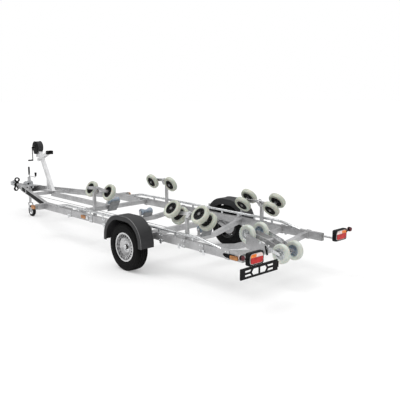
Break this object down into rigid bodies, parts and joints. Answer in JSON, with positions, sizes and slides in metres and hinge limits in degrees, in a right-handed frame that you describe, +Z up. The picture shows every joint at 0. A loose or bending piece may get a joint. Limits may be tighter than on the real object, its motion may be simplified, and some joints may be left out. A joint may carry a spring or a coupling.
{
  "type": "boat trailer",
  "caption": "Roller-bed boat trailer: galvanised rails and V drawbar, rocking roller heads, keel rollers, tilting rear cradle, winch post, jockey wheel and ball coupling.",
  "frame": {"origin": "on the floor, under the middle of the trailer's length and width", "axes": "+X the way it is towed, +Y its left side, +Z up"},
  "size_m": [7.6, 2.17, 1.457],
  "materials": {
    "galvanised_steel": "hot-dip galvanised, soft sheen",
    "tyre_rubber": "matte black",
    "silver_rim": "silver paint, satin",
    "cast_drum": "bare casting",
    "cast_coupling": "zinc-plated casting",
    "black_rubber": "matte black",
    "black_painted_steel": "black powder coat",
    "webbing": "woven polyester strap",
    "mudguard_plastic": "charcoal moulded plastic",
    "black_plastic": "matte black",
    "lamp_plastic": "red, amber and clear lens in a black housing",
    "keel_roller_plastic": "blue-grey, slightly translucent",
    "roller_rubber": "non-marking pale rubber"
  },
  "bodies": {
    "chassis": {"side_rail_left": "galvanised_steel", "side_rail_right": "galvanised_steel", "upper_tube_left": "galvanised_steel", "upper_tube_right": "galvanised_steel", "drawbar_leg_left": "galvanised_steel", "drawbar_leg_right": "galvanised_steel", "keel_beam": "galvanised_steel", "cross_beams": "galvanised_steel", "frame_clamps": "galvanised_steel", "axle_beam": "galvanised_steel", "swing_arm_left": "galvanised_steel", "swing_arm_right": "galvanised_steel", "mudguard_left": "mudguard_plastic", "mudguard_right": "mudguard_plastic", "mudguard_stays": "galvanised_steel", "coupling_housing": "galvanised_steel", "bellows": "black_rubber", "coupling_head": "cast_coupling", "brake_lever": "galvanised_steel", "brake_rod": "galvanised_steel", "lead_loops": "black_rubber", "jockey_sleeve": "galvanised_steel", "jockey_crank": "galvanised_steel", "winch_post": "galvanised_steel", "bow_stop": "black_rubber", "winch_frame": "black_painted_steel", "head_posts": "galvanised_steel", "roller_brackets": "galvanised_steel", "lamps": "lamp_plastic", "lamp_arms": "galvanised_steel", "plate_holder": "black_plastic"},
    "wheel_left": {"tyre_left": "tyre_rubber", "rim_left": "silver_rim", "brake_drum_left": "cast_drum"},
    "wheel_right": {"tyre_right": "tyre_rubber", "rim_right": "silver_rim", "brake_drum_right": "cast_drum"},
    "jockey_leg": {"jockey_tube": "galvanised_steel"},
    "jockey_caster": {"jockey_fork": "galvanised_steel"},
    "jockey_roller": {"jockey_wheel": "black_rubber"},
    "winch_spool": {"winch_drum": "webbing"},
    "winch_handle": {"winch_crank": "black_painted_steel"},
    "front_rocker_left": {"front_rocker_left": "galvanised_steel"},
    "front_roller_fore_left": {"front_roller_fore_left": "roller_rubber"},
    "front_roller_aft_left": {"front_roller_aft_left": "roller_rubber"},
    "front_rocker_right": {"front_rocker_right": "galvanised_steel"},
    "front_roller_fore_right": {"front_roller_fore_right": "roller_rubber"},
    "front_roller_aft_right": {"front_roller_aft_right": "roller_rubber"},
    "rear_rocker_left": {"rear_rocker_left": "galvanised_steel"},
    "rear_rollers_fore_left": {"rear_rollers_fore_left": "roller_rubber"},
    "rear_rollers_aft_left": {"rear_rollers_aft_left": "roller_rubber"},
    "rear_rocker_right": {"rear_rocker_right": "galvanised_steel"},
    "rear_rollers_fore_right": {"rear_rollers_fore_right": "roller_rubber"},
    "rear_rollers_aft_right": {"rear_rollers_aft_right": "roller_rubber"},
    "cradle": {"cradle_frame": "galvanised_steel"},
    "cradle_rollers_fore": {"cradle_rollers_fore": "roller_rubber"},
    "cradle_rollers_aft": {"cradle_rollers_aft": "roller_rubber"},
    "keel_roller_a": {"keel_roller_a": "keel_roller_plastic"},
    "keel_roller_b": {"keel_roller_b": "keel_roller_plastic"},
    "keel_roller_c": {"keel_roller_c": "keel_roller_plastic"}
  },
  "joints": [
    {"name": "wheel_left_spin", "type": "hinge", "parent": "chassis", "child": "wheel_left", "pos_m": [-1.65, 0.97, 0.325], "axis": [0, 1, 0], "continuous": true},
    {"name": "wheel_right_spin", "type": "hinge", "parent": "chassis", "child": "wheel_right", "pos_m": [-1.65, -0.97, 0.325], "axis": [0, 1, 0], "continuous": true},
    {"name": "jockey_wind", "type": "slide", "parent": "chassis", "child": "jockey_leg", "axis": [0, 0, 1], "range_m": [-0.15, 0.06]},
    {"name": "jockey_swivel", "type": "hinge", "parent": "jockey_leg", "child": "jockey_caster", "pos_m": [2.7, 0.15671, 0.262], "axis": [0, 0, 1], "continuous": true},
    {"name": "jockey_roll", "type": "hinge", "parent": "jockey_caster", "child": "jockey_roller", "pos_m": [2.64, 0.15671, 0.11], "axis": [0, 1, 0], "continuous": true},
    {"name": "winch_handle_turn", "type": "hinge", "parent": "chassis", "child": "winch_handle", "pos_m": [2.647, 0.078, 1.331], "axis": [0, 1, 0], "continuous": true},
    {"name": "winch_spool_turn", "type": "hinge", "parent": "chassis", "child": "winch_spool", "pos_m": [2.585, 0, 1.345], "axis": [0, 1, 0], "continuous": true},
    {"name": "front_rocker_left_tilt", "type": "hinge", "parent": "chassis", "child": "front_rocker_left", "pos_m": [-0.44, 0.645, 0.94], "axis": [0, 0.9135, 0.4067], "range_deg": [-20, 20]},
    {"name": "front_roller_fore_left_roll", "type": "hinge", "parent": "front_rocker_left", "child": "front_roller_fore_left", "pos_m": [-0.205, 0.59578, 0.90057], "axis": [0, 0.9135, 0.4067], "continuous": true},
    {"name": "front_roller_aft_left_roll", "type": "hinge", "parent": "front_rocker_left", "child": "front_roller_aft_left", "pos_m": [-0.675, 0.59578, 0.90057], "axis": [0, 0.9135, 0.4067], "continuous": true},
    {"name": "front_rocker_right_tilt", "type": "hinge", "parent": "chassis", "child": "front_rocker_right", "pos_m": [-0.44, -0.645, 0.94], "axis": [0, 0.9135, -0.4067], "range_deg": [-20, 20]},
    {"name": "front_roller_fore_right_roll", "type": "hinge", "parent": "front_rocker_right", "child": "front_roller_fore_right", "pos_m": [-0.205, -0.59578, 0.90057], "axis": [0, 0.9135, -0.4067], "continuous": true},
    {"name": "front_roller_aft_right_roll", "type": "hinge", "parent": "front_rocker_right", "child": "front_roller_aft_right", "pos_m": [-0.675, -0.59578, 0.90057], "axis": [0, 0.9135, -0.4067], "continuous": true},
    {"name": "rear_rocker_left_tilt", "type": "hinge", "parent": "chassis", "child": "rear_rocker_left", "pos_m": [-2.536, 0.65, 0.845], "axis": [0, 0.788, 0.6157], "range_deg": [-18, 18]},
    {"name": "rear_rollers_fore_left_roll", "type": "hinge", "parent": "rear_rocker_left", "child": "rear_rollers_fore_left", "pos_m": [-2.274, 0.65985, 0.83239], "axis": [0, 0.788, 0.6157], "continuous": true},
    {"name": "rear_rollers_aft_left_roll", "type": "hinge", "parent": "rear_rocker_left", "child": "rear_rollers_aft_left", "pos_m": [-2.798, 0.65985, 0.83239], "axis": [0, 0.788, 0.6157], "continuous": true},
    {"name": "rear_rocker_right_tilt", "type": "hinge", "parent": "chassis", "child": "rear_rocker_right", "pos_m": [-2.536, -0.65, 0.845], "axis": [0, 0.788, -0.6157], "range_deg": [-18, 18]},
    {"name": "rear_rollers_fore_right_roll", "type": "hinge", "parent": "rear_rocker_right", "child": "rear_rollers_fore_right", "pos_m": [-2.274, -0.65985, 0.83239], "axis": [0, 0.788, -0.6157], "continuous": true},
    {"name": "rear_rollers_aft_right_roll", "type": "hinge", "parent": "rear_rocker_right", "child": "rear_rollers_aft_right", "pos_m": [-2.798, -0.65985, 0.83239], "axis": [0, 0.788, -0.6157], "continuous": true},
    {"name": "cradle_tilt", "type": "hinge", "parent": "chassis", "child": "cradle", "pos_m": [-3.29, 0, 0.53], "axis": [0, 1, 0], "range_deg": [0, 30]},
    {"name": "cradle_rollers_fore_roll", "type": "hinge", "parent": "cradle", "child": "cradle_rollers_fore", "pos_m": [-3.02989, 0, 0.58313], "axis": [0, 1, 0], "continuous": true},
    {"name": "cradle_rollers_aft_roll", "type": "hinge", "parent": "cradle", "child": "cradle_rollers_aft", "pos_m": [-3.58047, 0, 0.43561], "axis": [0, 1, 0], "continuous": true},
    {"name": "keel_roller_a_roll", "type": "hinge", "parent": "chassis", "child": "keel_roller_a", "pos_m": [0.09, 0, 0.612], "axis": [0, 1, 0], "continuous": true},
    {"name": "keel_roller_b_roll", "type": "hinge", "parent": "chassis", "child": "keel_roller_b", "pos_m": [-0.78, 0, 0.548], "axis": [0, 1, 0], "continuous": true},
    {"name": "keel_roller_c_roll", "type": "hinge", "parent": "chassis", "child": "keel_roller_c", "pos_m": [-2.1, 0, 0.492], "axis": [0, 1, 0], "continuous": true}
  ],
  "couplings": [
    {"joint": "winch_spool_turn", "follows": "winch_handle_turn", "ratio": -0.25}
  ]
}
